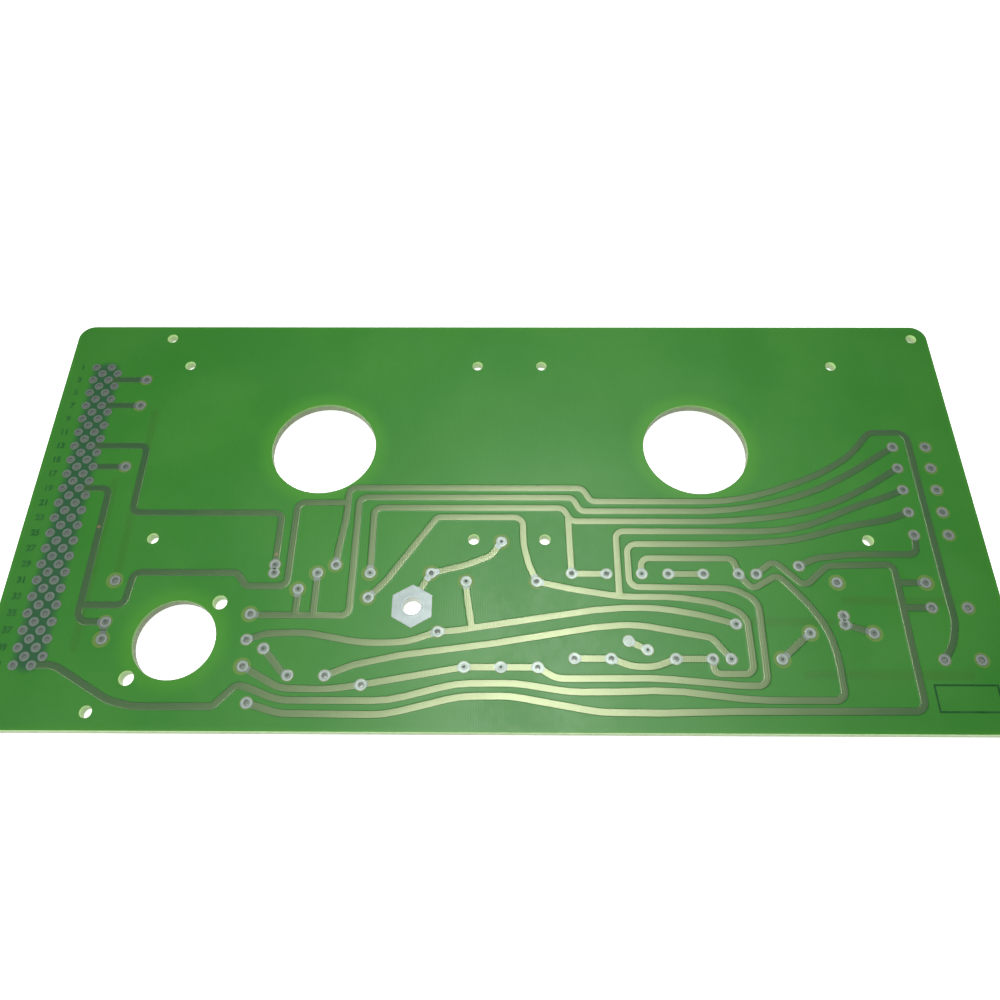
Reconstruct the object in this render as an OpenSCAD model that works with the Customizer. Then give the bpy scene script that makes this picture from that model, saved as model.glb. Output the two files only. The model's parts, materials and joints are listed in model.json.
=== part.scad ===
// Two-sided printed circuit board: a bare backplane with a four-column connector
// field at the left, two large round device openings, one small one, a hexagonal
// stud land and broad copper tracks.  Lies flat, front (track) side up.

/* [Laminate] */
// Thickness of the glass-epoxy laminate with its resist coats
board_t = 3.2; // [1.6:0.1:4.8]
// Radius of the board's outer corners
corner_r = 5; // [2:0.5:8]
// Left edge to the first connector column
left_margin = 8.8; // [7:0.1:12]
// Last land column to the right edge
right_margin = 10.1; // [8:0.1:14]
// Top edge to the first land row
top_margin = 17.1; // [15:0.1:24]
// Last land row to the bottom edge
bottom_margin = 7.6; // [6:0.1:12]

/* [Hole grid] */
// Pitch of the grid that every land stands on
pitch = 2.54; // [2.5, 2.54]
// Last column of the grid that carries lands
last_col = 105; // [105:1:110]
// Last row of the grid that carries lands
last_row = 44; // [44:1:48]

/* [Copper] */
// Width of the tracks
track_w = 1.9; // [1.2:0.1:2.1]
// Thickness of the copper foil
copper_t = 0.1; // [0.07:0.01:0.2]
// Extra thickness of the tin on the bare lands
tin_t = 0.03; // [0.01:0.01:0.06]
// Depth of the back copper below the face of the back resist coat
back_resist_t = 0.02; // [0.01:0.01:0.06]
// Smallest bend radius of a track's centre line
bend_r = 2.4; // [1.4:0.1:3]

/* [Lands] */
// Diameter of a component land
land_d = 3.3; // [2.4:0.1:3.5]
// Diameter of a connector land
pin_land_d = 2.8; // [2.2:0.1:3]
// Finished hole of a component land
hole_d = 0.9; // [0.8:0.1:1.2]
// Finished hole of a land for thicker leads
wide_hole_d = 1.4; // [1.2:0.1:1.6]
// Finished hole of a connector land
pin_hole_d = 1.1; // [0.8:0.1:1.3]
// Wall of the plated barrels
plating_t = 0.1; // [0.05:0.01:0.15]

/* [Connector field] */
// Staggered pin rows in an outer column
pin_rows = 21; // [12:1:21]

/* [Stud land] */
// Hexagonal land, across its flats
hex_af = 11.3; // [9:0.1:12]
// Finished hole of the stud land
stud_hole_d = 5.3; // [4:0.1:6]

/* [Device openings] */
// Diameter of the two large openings
opening_d = 32.5; // [26:0.5:33]
// Grid column of the left large opening
opening_col_a = 31; // [30.5:0.1:31.5]
// Grid column of the right large opening
opening_col_b = 76.8; // [76:0.1:77.5]
// Grid row of both large openings
opening_row = 12.2; // [11.5:0.1:12.4]
// Width of the screw pattern around a large opening
device_sx = 95.25; // [94:0.25:96]
// Height of the screw pattern around a large opening
device_sy = 63.5; // [62:0.25:64]
// Diameter of the small opening
small_opening_d = 23.3; // [18:0.1:24]
// Grid column of the small opening
small_col = 17; // [16.5:0.1:17.5]
// Grid row of the small opening
small_row = 37; // [36.5:0.1:37.2]
// Side of the square on whose diagonal the small opening's two screws stand
small_sq = 22.2; // [21:0.1:23]

/* [Fixing holes] */
// Diameter of the screw holes
screw_d = 3.4; // [2.8:0.1:3.6]
// Diameter of the two screw holes beside the small opening
small_screw_d = 4.2; // [3:0.1:4.5]
// Left fixing holes to the left edge
fix_left = 31.9; // [30:0.1:34]
// Right fixing holes to the right edge
fix_right = 5.2; // [4.5:0.1:6]
// Upper and lower fixing holes to their edge
fix_edge = 5; // [4.5:0.1:6]

/* [Marking frame] */
// Width of the marking frame
frame_w = 17.6; // [12:0.1:18]
// Height of the marking frame
frame_h = 7.8; // [5:0.1:8.5]
// Line width of the marking frame
frame_line = 0.5; // [0.3:0.1:0.8]
// Marking frame to the right edge
frame_right = 7.4; // [6:0.1:8]
// Marking frame to the bottom edge
frame_bottom = 5.7; // [4:0.1:7]

/* [Hidden] */

$fn = 64;
eps = 0.5;
board_w = left_margin + last_col * pitch + right_margin;
board_d = top_margin + last_row * pitch + bottom_margin;
land_t = copper_t + tin_t;
back_z = back_resist_t;
stud = [43, 33];

// Drill for a plated hole of finished diameter d, and the hole of the land at p.
function drill(d) = d + 2 * plating_t;
function hole(p) = p[2] == undef ? hole_d : p[2];

// A grid place, given as column and row, in the board's own frame.
function at(p) = [
    left_margin + p[0] * pitch - board_w / 2,
    board_d / 2 - top_margin - p[1] * pitch
];

// ---- Track outlines -------------------------------------------------------
// A run is a list of [column, row, bend radius]; the bend radius is optional.
function unit(v) = v / norm(v);
function side(v) = [-v[1], v[0]];
function turn(u, v) = atan2(u[0] * v[1] - u[1] * v[0], u * v);

// Centre-line stations [point, unit normal] of the bend at b between a and c.
function bend(a, b, c, r) =
    let (
        u = unit(b - a), v = unit(c - b), t = turn(u, v),
        room = 0.49 * min(norm(b - a), norm(c - b)),
        reach = min(r * abs(tan(t / 2)), room),
        steps = max(1, ceil(abs(t) / 9))
    )
    abs(t) < 0.5 ? [[b, unit(side(u) + side(v))]] :
    let (
        rr = reach / abs(tan(t / 2)),
        s = sign(t),
        hub = b - u * reach + side(u) * s * rr
    )
    [for (k = [0 : steps])
        let (n = [[cos(t * k / steps), -sin(t * k / steps)],
                  [sin(t * k / steps), cos(t * k / steps)]] * side(u))
        [hub - n * s * rr, n]];

function stations(run) =
    let (n = len(run), p = [for (q = run) at(q)])
    [
        [p[0], side(unit(p[1] - p[0]))],
        for (i = [1 : 1 : n - 2])
            for (s = bend(p[i - 1], p[i], p[i + 1], run[i][2] == undef ? bend_r : run[i][2]))
                s,
        [p[n - 1], side(unit(p[n - 1] - p[n - 2]))]
    ];

module ribbon(run, w) {
    s = stations(run);
    n = len(s);
    polygon([
        for (i = [0 : n - 1]) s[i][0] + s[i][1] * w / 2,
        for (i = [n - 1 : -1 : 0]) s[i][0] - s[i][1] * w / 2
    ]);
}

// ---- Copper ---------------------------------------------------------------
module front_track(run) {
    translate([0, 0, board_t]) linear_extrude(copper_t) ribbon(run, track_w);
}

module back_track(run) {
    translate([0, 0, back_z]) linear_extrude(copper_t) ribbon(run, track_w);
}

// Plated-through land: front ring, barrel and back ring turned as one profile.
module eyelet(p, d, bore) {
    r = drill(bore) / 2;
    translate(at(p)) rotate_extrude() polygon([
        [bore / 2, back_z], [d / 2, back_z], [d / 2, back_z + copper_t],
        [r, back_z + copper_t], [r, board_t], [d / 2, board_t],
        [d / 2, board_t + land_t], [bore / 2, board_t + land_t]
    ]);
}

module land(p) { eyelet(p, land_d, hole(p)); }
module pin_land(p) { eyelet(p, pin_land_d, pin_hole_d); }

// A hole through everything at a grid place.
module bore(p, d) {
    translate(concat(at(p), [-eps])) cylinder(d = d, h = board_t + 2 * eps);
}

// One copper net: its tracks on both faces with its plated lands.
module copper(n) {
    for (r = n[0]) front_track(r);
    for (r = n[3]) back_track(r);
    for (p = n[1]) land(p);
    for (p = n[2]) pin_land(p);
}

module net(n) {
    color([0.72, 0.53, 0.3]) difference() {
        copper(n);
        for (p = n[1]) bore(p, hole(p));
        for (p = n[2]) bore(p, pin_hole_d);
    }
}

// ---- Nets -----------------------------------------------------------------
// Each net is [front runs, component lands, connector pins, back runs].  Places are
// grid columns and rows.  A third entry is a bend radius in a run, and the finished
// hole where a land has the wide one.
row_2 = [[[[2, 2], [7, 2]]], [[7, 2]], [[2, 2]], []];

row_6 = [
    [[[2, 6], [7, 6]]],
    [[7, 6], [9, 30, wide_hole_d]], [[2, 6]],
    [[[7, 6], [8.7, 10, 6], [8.7, 28.5, 6], [9, 30]]]
];

row_12 = [
    [[[2, 12], [9.1, 12], [9.1, 21.3], [27, 21.3], [27, 29]]],
    [[27, 28], [27, 29]], [[2, 12]], []
];

row_15 = [
    [[[3, 15], [7, 15]]],
    [[7, 15]], [[3, 15], [3, 39]],
    [[[7, 15], [5.7, 17.2, 5], [5.7, 38.2], [3, 39]]]
];

bus_1 = [
    [
        [[34, 28], [34.1, 26, 20], [34.7, 21.5, 30], [34.65, 17.85], [62.6, 17.85],
            [63.6, 19.65], [79.5, 19.65, 60], [84, 18.7, 40], [91, 16.1, 60],
            [95.5, 13.35, 30], [98.4, 9.9, 4.5], [103, 9.9, 3], [103.1, 32, 90],
            [103.2, 34.5, 15], [102.4, 37.2, 15], [101, 39]],
        [[2, 18], [5.7, 18], [5.7, 35, 3.2], [9, 35], [9, 37, 1.1]],
        [[5.7, 33], [10.6, 33], [10.95, 29], [22.8, 29], [24, 30.65], [28.65, 30.65],
            [28.7, 19.9], [34.65, 19.9]]
    ],
    [[9, 35], [9, 37], [34, 28, wide_hole_d], [101, 39, wide_hole_d]], [[2, 18]], []
];

row_40 = [
    [
        [[2, 40], [4.4, 39.9, 8], [11.2, 43.8, 14], [13.8, 44.4, 14], [22.4, 44.4, 1.6],
            [24.6, 42.05, 2.2], [25.8, 42.3, 8], [29.3, 43.7, 16], [41, 43.7, 32],
            [48.2, 41.8, 36], [54.5, 41.75, 36], [60.5, 42.7, 36], [66, 42.65, 60],
            [71, 42.45, 50], [80, 43.5, 60], [89.6, 43.5, 3], [89.6, 39, 30],
            [89.2, 36, 30], [87.6, 32.8, 40], [84.4, 29.05, 2.4], [81.4, 30.85, 2.2],
            [80, 29]],
        [[80, 29], [79.6, 27.05, 2.2], [69, 27.05, 2.6], [69, 29]]
    ],
    [[80, 29], [69, 29]], [[2, 40]], []
];

bus_2 = [
    [
        [[25, 34.1], [36, 34.15], [36, 19.15], [61.4, 19.15], [62.3, 20.95],
            [78.5, 20.95, 60], [85, 20, 80], [91, 18, 80], [95.5, 15.5, 60], [101, 12]],
        [[30, 31], [30, 34.1]],
        [[32, 29], [32, 34.1]]
    ],
    [[25, 34, wide_hole_d], [30, 31], [32, 29], [101, 12]], [], []
];

bus_3 = [
    [
        [[38, 29], [37.9, 20.55], [60.2, 20.55], [61.2, 22.3], [79, 22.3, 60],
            [87, 21.5, 80], [92, 20.1, 80], [96.5, 17.8, 60], [101, 15]],
        [[60.8, 21.9], [61, 29]],
        [[61, 29], [65, 29]]
    ],
    [[38, 29], [61, 29, wide_hole_d], [65, 29, wide_hole_d], [101, 15]], [], []
];

bus_4 = [
    [
        [[38, 32], [39.9, 29.9, 8], [45.4, 21.8, 1.8], [55.5, 21.8, 2.8],
            [55.55, 25.3, 16], [56.1, 27.8, 14], [57, 30]],
        [[57, 30], [61, 30.9, 40], [66.5, 31.8, 40], [72.5, 31.8, 32], [77, 32.5, 22],
            [80.3, 33.9, 5], [80.3, 40.65, 2.6], [76, 40.65, 2.2], [76, 39]],
        [[66.3, 31.8], [66.3, 23.6], [84.5, 23.6, 60], [89, 22.85, 60], [95, 20.2, 60],
            [98.5, 19.1, 40], [101, 18]],
        [[76, 39], [72, 39]],
        [[72, 39], [69.7, 39.9, 12], [67.3, 39.9, 12], [65, 39]],
        [[65, 39], [61, 39]]
    ],
    [for (p = [[38, 32], [57, 30], [76, 39], [72, 39], [65, 39], [61, 39]])
        [p[0], p[1], wide_hole_d], [101, 18]], [], []
];

bus_5 = [
    [
        [[25, 40], [29.3, 42.4, 10], [34.5, 42.5, 40], [38, 42]],
        [[38, 42], [49, 40], [57, 40]],
        [[57, 40], [59, 41.25, 8], [70, 41.15, 60], [79, 41.95, 30], [81.6, 41.95, 3],
            [81.8, 32.3, 5], [79.3, 30.75, 12], [67.5, 30.6, 2.8], [67.5, 25.25, 2.8],
            [80, 25.25, 60], [87, 24.75, 50], [93.5, 22.9, 60], [98.5, 22, 40], [101, 21]]
    ],
    [[25, 40, wide_hole_d], [38, 42, wide_hole_d], [49, 40], [53, 40],
        [57, 40, wide_hole_d], [101, 21]], [], []
];

// The last run ends under the hexagonal stud land.
stud_net = [
    [
        [[53, 25], [51.8, 26.8, 4], [48.8, 28, 14], [45, 29]],
        [[45, 29], stud + [0.2, -1]]
    ],
    [[53, 25], [45, 29, wide_hole_d]], [], []
];

long_wave = [
    [
        [[25, 37], [27, 36.3, 8], [31.2, 36.1, 25], [37.8, 37.35, 40], [42.6, 37.2, 20],
            [46, 36]],
        [[46, 36], [48, 35.85, 30], [65, 33.15, 60], [70.5, 33.1, 50], [75.5, 34, 30],
            [79, 35]],
        [[49, 30], [49.1, 31.5, 10], [49.75, 35.5]],
        [[91, 35], [94, 36]],
        [[91, 34], [91, 35]]
    ],
    [[25, 37, wide_hole_d], [46, 36, wide_hole_d], [49, 30], [79, 35], [91, 34], [91, 35],
        [94, 36]], [],
    [[[79, 35], [80.5, 34.5, 8], [89.5, 34.5, 8], [91, 35]]]
];

short_wave = [
    [[[34, 41], [37, 39.8, 12], [42, 38.7, 30], [52, 37.35, 60], [64.8, 35.2, 50],
        [68.3, 35.15, 30], [76.2, 36.6, 3], [78, 39]]],
    [[34, 41, wide_hole_d], [78, 39]], [], []
];

return_net = [
    [
        [[26, 44], [29.5, 45.1, 14], [40.7, 45.2, 30], [48.6, 43.2, 30], [54, 43.15, 30],
            [63.5, 44.85, 40], [70, 44.9, 60], [78, 44.7, 60], [97.8, 44.6, 3],
            [97.8, 27.75, 2.2], [90.2, 27.95, 3], [87.3, 30.5, 2.4], [84.2, 27.3, 2.6],
            [82, 29]],
        [[97.8, 30], [101, 30]],
        [[97.8, 33], [101, 33]]
    ],
    [[26, 44, wide_hole_d], [82, 29, wide_hole_d], [101, 30], [101, 33, wide_hole_d]],
    [], []
];

lead = [
    [[[87, 28], [89, 27, 12], [93.5, 26.5, 30], [100.8, 26.5, 2.8], [101, 24]]],
    [[87, 28, wide_hole_d], [101, 24]], [], []
];

right_pair = [
    [], [[91, 30, wide_hole_d], [105, 33, wide_hole_d]], [],
    [[[91, 30], [91.3, 31.7, 2.4], [103.6, 31.7, 6], [105, 33]]]
];

diagonal = [[[[27, 38], [29.3, 40.6, 4], [30, 41]]], [[27, 38], [30, 41]], [], []];
level = [
    [[[72, 29], [76, 29]]],
    [[72, 29, wide_hole_d], [76, 29, wide_hole_d]], [], []
];
filled = [[[[67, 37], [69, 38]]], [[67, 37], [69, 38]], [], []];

slant = [
    [[[83.5, 39], [87, 36]]],
    [[83.5, 39], [87, 36], [105, 39, wide_hole_d]], [],
    [[[83.5, 39], [86, 40.4, 6], [103.4, 40.4, 5], [105, 39]]]
];

// Lands of the last column that no track on the front reaches.
outer = [[], [for (r = [12 : 3 : 24]) [last_col, r]], [], []];

NETS = [row_2, row_6, row_12, row_15, bus_1, row_40, bus_2, bus_3, bus_4, bus_5, stud_net,
    long_wave, short_wave, return_net, lead, right_pair, diagonal, level, filled, slant, outer];
land_places = [for (n = NETS) for (p = n[1]) p];
net_pins = [for (n = NETS) for (p = n[2]) p];
back_runs = [for (n = NETS) for (r = n[3]) r];

// Every pin of the staggered connector field, and those that no net takes.
pin_places = concat(
    [for (k = [0 : pin_rows - 1], c = [0, 2]) [c, 2 * k]],
    [for (k = [0 : pin_rows - 2], c = [1, 3]) [c, 2 * k + 1]]
);
free_pins = [for (p = pin_places) if (len([for (q = net_pins) if (q == p) 1]) == 0) p];

// ---- Laminate -------------------------------------------------------------
module board_outline() {
    x = board_w / 2 - corner_r;
    y = board_d / 2 - corner_r;
    union() {
        square([2 * x, board_d], center = true);
        square([board_w, 2 * y], center = true);
        for (i = [-1, 1], j = [-1, 1]) translate([i * x, j * y]) circle(r = corner_r);
    }
}

module through(p, d) {
    translate([p[0], p[1], -eps]) cylinder(d = d, h = board_t + 2 * eps);
}

// Drilled hole with the shallow seat of the back ring.
module drilled(p, d, bore) {
    r = drill(bore) / 2;
    translate(at(p)) rotate_extrude() polygon([
        [0, -eps], [d / 2, -eps], [d / 2, back_z + copper_t],
        [r, back_z + copper_t], [r, board_t + eps], [0, board_t + eps]
    ]);
}

module device_opening(p, d, sx, sy, hole) {
    c = at(p);
    through(c, d);
    for (i = [-1, 1], j = [-1, 1]) through(c + [i * sx / 2, j * sy / 2], hole);
}

module fixing_holes() {
    xl = fix_left - board_w / 2;
    xr = board_w / 2 - fix_right;
    y = board_d / 2 - fix_edge;
    for (x = [xl, xr], j = [-1, 1]) through([x, j * y], screw_d);
}

module laminate() {
    color([0.2, 0.5, 0.16]) difference() {
        linear_extrude(board_t) board_outline();
        device_opening([opening_col_a, opening_row], opening_d, device_sx, device_sy, screw_d);
        device_opening([opening_col_b, opening_row], opening_d, device_sx, device_sy, screw_d);
        through(at([small_col, small_row]), small_opening_d);
        for (i = [-1, 1])
            through(at([small_col, small_row]) + i * [small_sq, small_sq] / 2, small_screw_d);
        fixing_holes();
        for (p = pin_places) drilled(p, pin_land_d, pin_hole_d);
        for (p = land_places) drilled(p, land_d, hole(p));
        stud_seat();
        for (r = back_runs) translate([0, 0, -eps])
            linear_extrude(eps + back_z + copper_t) ribbon(r, track_w);
    }
}

module hexagon(h) {
    rotate(30) cylinder(d = hex_af / cos(30), h = h, $fn = 6);
}

// The drilled hole and back seat of the stud land.
module stud_seat() {
    through(at(stud), drill(stud_hole_d));
    translate(concat(at(stud), [-eps])) hexagon(eps + back_z + copper_t);
}

// ---- Named nets -----------------------------------------------------------
module net_row_2() { net(row_2); }
module net_row_6() { net(row_6); }
module net_row_12() { net(row_12); }
module net_row_15() { net(row_15); }
module net_bus_1() { net(bus_1); }
module net_row_40() { net(row_40); }
module net_bus_2() { net(bus_2); }
module net_bus_3() { net(bus_3); }
module net_bus_4() { net(bus_4); }
module net_bus_5() { net(bus_5); }

// The stud net carries the hexagonal land with its own plated hole.
module hex_stud_net() {
    color([0.75, 0.75, 0.74]) difference() {
        union() {
            copper(stud_net);
            translate(concat(at(stud), [board_t])) hexagon(land_t);
            translate(concat(at(stud), [back_z])) hexagon(copper_t);
            translate(concat(at(stud), [back_z])) cylinder(d = drill(stud_hole_d), h = board_t);
        }
        for (p = stud_net[1]) bore(p, hole(p));
        bore(stud, stud_hole_d);
    }
}

module net_long_wave() { net(long_wave); }
module net_short_wave() { net(short_wave); }
module net_return() { net(return_net); }
module net_lead() { net(lead); }
module net_right_pair() { net(right_pair); }
module link_diagonal() { net(diagonal); }
module link_level() { net(level); }
module link_slant() { net(slant); }

// The first land of this link has its hole filled with solder.
module link_filled() {
    color([0.72, 0.53, 0.3]) {
        difference() {
            copper(filled);
            for (p = filled[1]) bore(p, hole(p));
        }
        translate(concat(at(filled[1][0]), [back_z]))
            cylinder(d = hole(filled[1][0]), h = board_t + land_t - back_z);
    }
}

module connector_lands() {
    color([0.75, 0.75, 0.74]) for (p = free_pins) pin_land(p);
}

module outer_lands() {
    color([0.75, 0.75, 0.74]) for (p = outer[1]) land(p);
}

// ---- Marking frame --------------------------------------------------------
module marking_frame() {
    color([0.3, 0.45, 0.25]) translate([
        board_w / 2 - frame_right - frame_w, frame_bottom - board_d / 2, board_t
    ]) linear_extrude(copper_t) difference() {
        square([frame_w, frame_h]);
        translate([frame_line, frame_line])
            square([frame_w - 2 * frame_line, frame_h - 2 * frame_line]);
    }
}

laminate();
net_row_2();
net_row_6();
net_row_12();
net_row_15();
net_bus_1();
net_row_40();
net_bus_2();
net_bus_3();
net_bus_4();
net_bus_5();
hex_stud_net();
net_long_wave();
net_short_wave();
net_return();
net_lead();
net_right_pair();
link_diagonal();
link_level();
link_filled();
link_slant();
connector_lands();
outer_lands();
marking_frame();
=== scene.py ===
import json
import math

import bpy
from mathutils import Matrix, Vector

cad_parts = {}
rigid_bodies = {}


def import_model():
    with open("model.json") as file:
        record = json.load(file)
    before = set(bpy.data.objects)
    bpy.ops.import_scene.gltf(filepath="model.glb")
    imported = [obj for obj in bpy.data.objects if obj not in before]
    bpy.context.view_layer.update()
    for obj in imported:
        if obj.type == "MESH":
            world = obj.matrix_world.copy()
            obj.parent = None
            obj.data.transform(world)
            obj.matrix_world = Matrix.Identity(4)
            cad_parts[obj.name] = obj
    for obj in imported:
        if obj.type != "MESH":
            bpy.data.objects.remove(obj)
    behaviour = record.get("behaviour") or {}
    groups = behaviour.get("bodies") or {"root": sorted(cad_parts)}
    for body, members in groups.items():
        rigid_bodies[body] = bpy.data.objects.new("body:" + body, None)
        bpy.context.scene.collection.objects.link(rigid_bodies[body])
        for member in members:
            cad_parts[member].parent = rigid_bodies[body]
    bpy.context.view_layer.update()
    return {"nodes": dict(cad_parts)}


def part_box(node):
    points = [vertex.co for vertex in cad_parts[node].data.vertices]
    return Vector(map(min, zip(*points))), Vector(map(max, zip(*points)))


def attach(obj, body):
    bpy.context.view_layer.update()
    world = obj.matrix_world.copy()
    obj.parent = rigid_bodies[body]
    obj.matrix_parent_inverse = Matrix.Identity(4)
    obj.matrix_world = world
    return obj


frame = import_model()

# Named sizes are in mm unless they say otherwise, and sizes in materials are in metres.
MM = 0.001
LOW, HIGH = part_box("laminate")
LEFT_EDGE, RIGHT_EDGE = LOW.x / MM, HIGH.x / MM  # edges of the board
UPPER_EDGE = HIGH.y / MM
TOP = HIGH.z / MM                                # front face of the laminate
RESIST_CORNER = 4.95                             # corner radius of the resist sheets
RESIST_INSET = 0.05                              # their edge inside the board's
PITCH = 2.54
LEFT_MARGIN, TOP_MARGIN = 8.8, 17.1              # board edges to column 0 and row 0

# Device openings: grid place and radius.
CUTOUTS = [((31, 12.2), 16.25), ((76.8, 12.2), 16.25), ((17, 37), 11.65)]
DEVICE_SCREWS = (95.25, 63.5)                    # screw pattern round a large opening
SMALL_SQUARE = 22.2                              # its diagonal joins the small opening's screws
SCREW_R, SMALL_SCREW_R = 1.7, 2.1
FIXING_LEFT, FIXING_RIGHT, FIXING_EDGE = 31.9, 5.2, 5
HOLE_GAP = 0.12                                  # resist kept back from openings and holes

TRACK_W = 1.9
BEND_R = 2.4                                     # of a corner that names no radius
LAND_D, PIN_D = 3.3, 2.8
LAND_TOP = TOP + 0.13                            # upper face of a tinned land
STUD = (43, 33)                                  # place of the hexagonal stud land
FILLED_LAND = (67, 37)                           # the land whose hole is full of solder

# Each net: its runs on the front and its lands.  Places are grid columns and rows; a third
# number is a bend radius in mm.
NETS = {
    "net_row_2": ([[(2, 2), (7, 2)]], [(7, 2)]),
    "net_row_6": ([[(2, 6), (7, 6)]], [(7, 6), (9, 30)]),
    "net_row_12": ([[(2, 12), (9.1, 12), (9.1, 21.3), (27, 21.3), (27, 29)]],
                   [(27, 28), (27, 29)]),
    "net_row_15": ([[(3, 15), (7, 15)]], [(7, 15)]),
    "net_bus_1": ([
        [(34, 28), (34.1, 26, 20), (34.7, 21.5, 30), (34.65, 17.85), (62.6, 17.85),
         (63.6, 19.65), (79.5, 19.65, 60), (84, 18.7, 40), (91, 16.1, 60), (95.5, 13.35, 30),
         (98.4, 9.9, 4.5), (103, 9.9, 3), (103.1, 32, 90), (103.2, 34.5, 15),
         (102.4, 37.2, 15), (101, 39)],
        [(2, 18), (5.7, 18), (5.7, 35, 3.2), (9, 35), (9, 37, 1.1)],
        [(5.7, 33), (10.6, 33), (10.95, 29), (22.8, 29), (24, 30.65), (28.65, 30.65),
         (28.7, 19.9), (34.65, 19.9)]],
        [(9, 35), (9, 37), (34, 28), (101, 39)]),
    "net_row_40": ([
        [(2, 40), (4.4, 39.9, 8), (11.2, 43.8, 14), (13.8, 44.4, 14), (22.4, 44.4, 1.6),
         (24.6, 42.05, 2.2), (25.8, 42.3, 8), (29.3, 43.7, 16), (41, 43.7, 32),
         (48.2, 41.8, 36), (54.5, 41.75, 36), (60.5, 42.7, 36), (66, 42.65, 60),
         (71, 42.45, 50), (80, 43.5, 60), (89.6, 43.5, 3), (89.6, 39, 30), (89.2, 36, 30),
         (87.6, 32.8, 40), (84.4, 29.05, 2.4), (81.4, 30.85, 2.2), (80, 29)],
        [(80, 29), (79.6, 27.05, 2.2), (69, 27.05, 2.6), (69, 29)]],
        [(80, 29), (69, 29)]),
    "net_bus_2": ([
        [(25, 34.1), (36, 34.15), (36, 19.15), (61.4, 19.15), (62.3, 20.95),
         (78.5, 20.95, 60), (85, 20, 80), (91, 18, 80), (95.5, 15.5, 60), (101, 12)],
        [(30, 31), (30, 34.1)],
        [(32, 29), (32, 34.1)]],
        [(25, 34), (30, 31), (32, 29), (101, 12)]),
    "net_bus_3": ([
        [(38, 29), (37.9, 20.55), (60.2, 20.55), (61.2, 22.3), (79, 22.3, 60),
         (87, 21.5, 80), (92, 20.1, 80), (96.5, 17.8, 60), (101, 15)],
        [(60.8, 21.9), (61, 29)],
        [(61, 29), (65, 29)]],
        [(38, 29), (61, 29), (65, 29), (101, 15)]),
    "net_bus_4": ([
        [(38, 32), (39.9, 29.9, 8), (45.4, 21.8, 1.8), (55.5, 21.8, 2.8), (55.55, 25.3, 16),
         (56.1, 27.8, 14), (57, 30)],
        [(57, 30), (61, 30.9, 40), (66.5, 31.8, 40), (72.5, 31.8, 32), (77, 32.5, 22),
         (80.3, 33.9, 5), (80.3, 40.65, 2.6), (76, 40.65, 2.2), (76, 39)],
        [(66.3, 31.8), (66.3, 23.6), (84.5, 23.6, 60), (89, 22.85, 60), (95, 20.2, 60),
         (98.5, 19.1, 40), (101, 18)],
        [(76, 39), (72, 39)],
        [(72, 39), (69.7, 39.9, 12), (67.3, 39.9, 12), (65, 39)],
        [(65, 39), (61, 39)]],
        [(38, 32), (57, 30), (76, 39), (72, 39), (65, 39), (61, 39), (101, 18)]),
    "net_bus_5": ([
        [(25, 40), (29.3, 42.4, 10), (34.5, 42.5, 40), (38, 42)],
        [(38, 42), (49, 40), (57, 40)],
        [(57, 40), (59, 41.25, 8), (70, 41.15, 60), (79, 41.95, 30), (81.6, 41.95, 3),
         (81.8, 32.3, 5), (79.3, 30.75, 12), (67.5, 30.6, 2.8), (67.5, 25.25, 2.8),
         (80, 25.25, 60), (87, 24.75, 50), (93.5, 22.9, 60), (98.5, 22, 40), (101, 21)]],
        [(25, 40), (38, 42), (49, 40), (53, 40), (57, 40), (101, 21)]),
    "hex_stud_net": ([
        [(53, 25), (51.8, 26.8, 4), (48.8, 28, 14), (45, 29)],
        [(45, 29), (43.2, 32)]],
        [(53, 25), (45, 29)]),
    "net_long_wave": ([
        [(25, 37), (27, 36.3, 8), (31.2, 36.1, 25), (37.8, 37.35, 40), (42.6, 37.2, 20),
         (46, 36)],
        [(46, 36), (48, 35.85, 30), (65, 33.15, 60), (70.5, 33.1, 50), (75.5, 34, 30),
         (79, 35)],
        [(49, 30), (49.1, 31.5, 10), (49.75, 35.5)],
        [(91, 35), (94, 36)],
        [(91, 34), (91, 35)]],
        [(25, 37), (46, 36), (49, 30), (79, 35), (91, 34), (91, 35), (94, 36)]),
    "net_short_wave": ([
        [(34, 41), (37, 39.8, 12), (42, 38.7, 30), (52, 37.35, 60), (64.8, 35.2, 50),
         (68.3, 35.15, 30), (76.2, 36.6, 3), (78, 39)]], [(34, 41), (78, 39)]),
    "net_return": ([
        [(26, 44), (29.5, 45.1, 14), (40.7, 45.2, 30), (48.6, 43.2, 30), (54, 43.15, 30),
         (63.5, 44.85, 40), (70, 44.9, 60), (78, 44.7, 60), (97.8, 44.6, 3),
         (97.8, 27.75, 2.2), (90.2, 27.95, 3), (87.3, 30.5, 2.4), (84.2, 27.3, 2.6),
         (82, 29)],
        [(97.8, 30), (101, 30)],
        [(97.8, 33), (101, 33)]],
        [(26, 44), (82, 29), (101, 30), (101, 33)]),
    "net_lead": ([[(87, 28), (89, 27, 12), (93.5, 26.5, 30), (100.8, 26.5, 2.8), (101, 24)]],
                 [(87, 28), (101, 24)]),
    "net_right_pair": ([], [(91, 30), (105, 33)]),
    "link_diagonal": ([[(27, 38), (29.3, 40.6, 4), (30, 41)]], [(27, 38), (30, 41)]),
    "link_level": ([[(72, 29), (76, 29)]], [(72, 29), (76, 29)]),
    "link_filled": ([[(67, 37), (69, 38)]], [(67, 37), (69, 38)]),
    "link_slant": ([[(83.5, 39), (87, 36)]], [(83.5, 39), (87, 36), (105, 39)]),
    "outer_lands": ([], [(105, r) for r in range(12, 25, 3)]),
}

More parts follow.
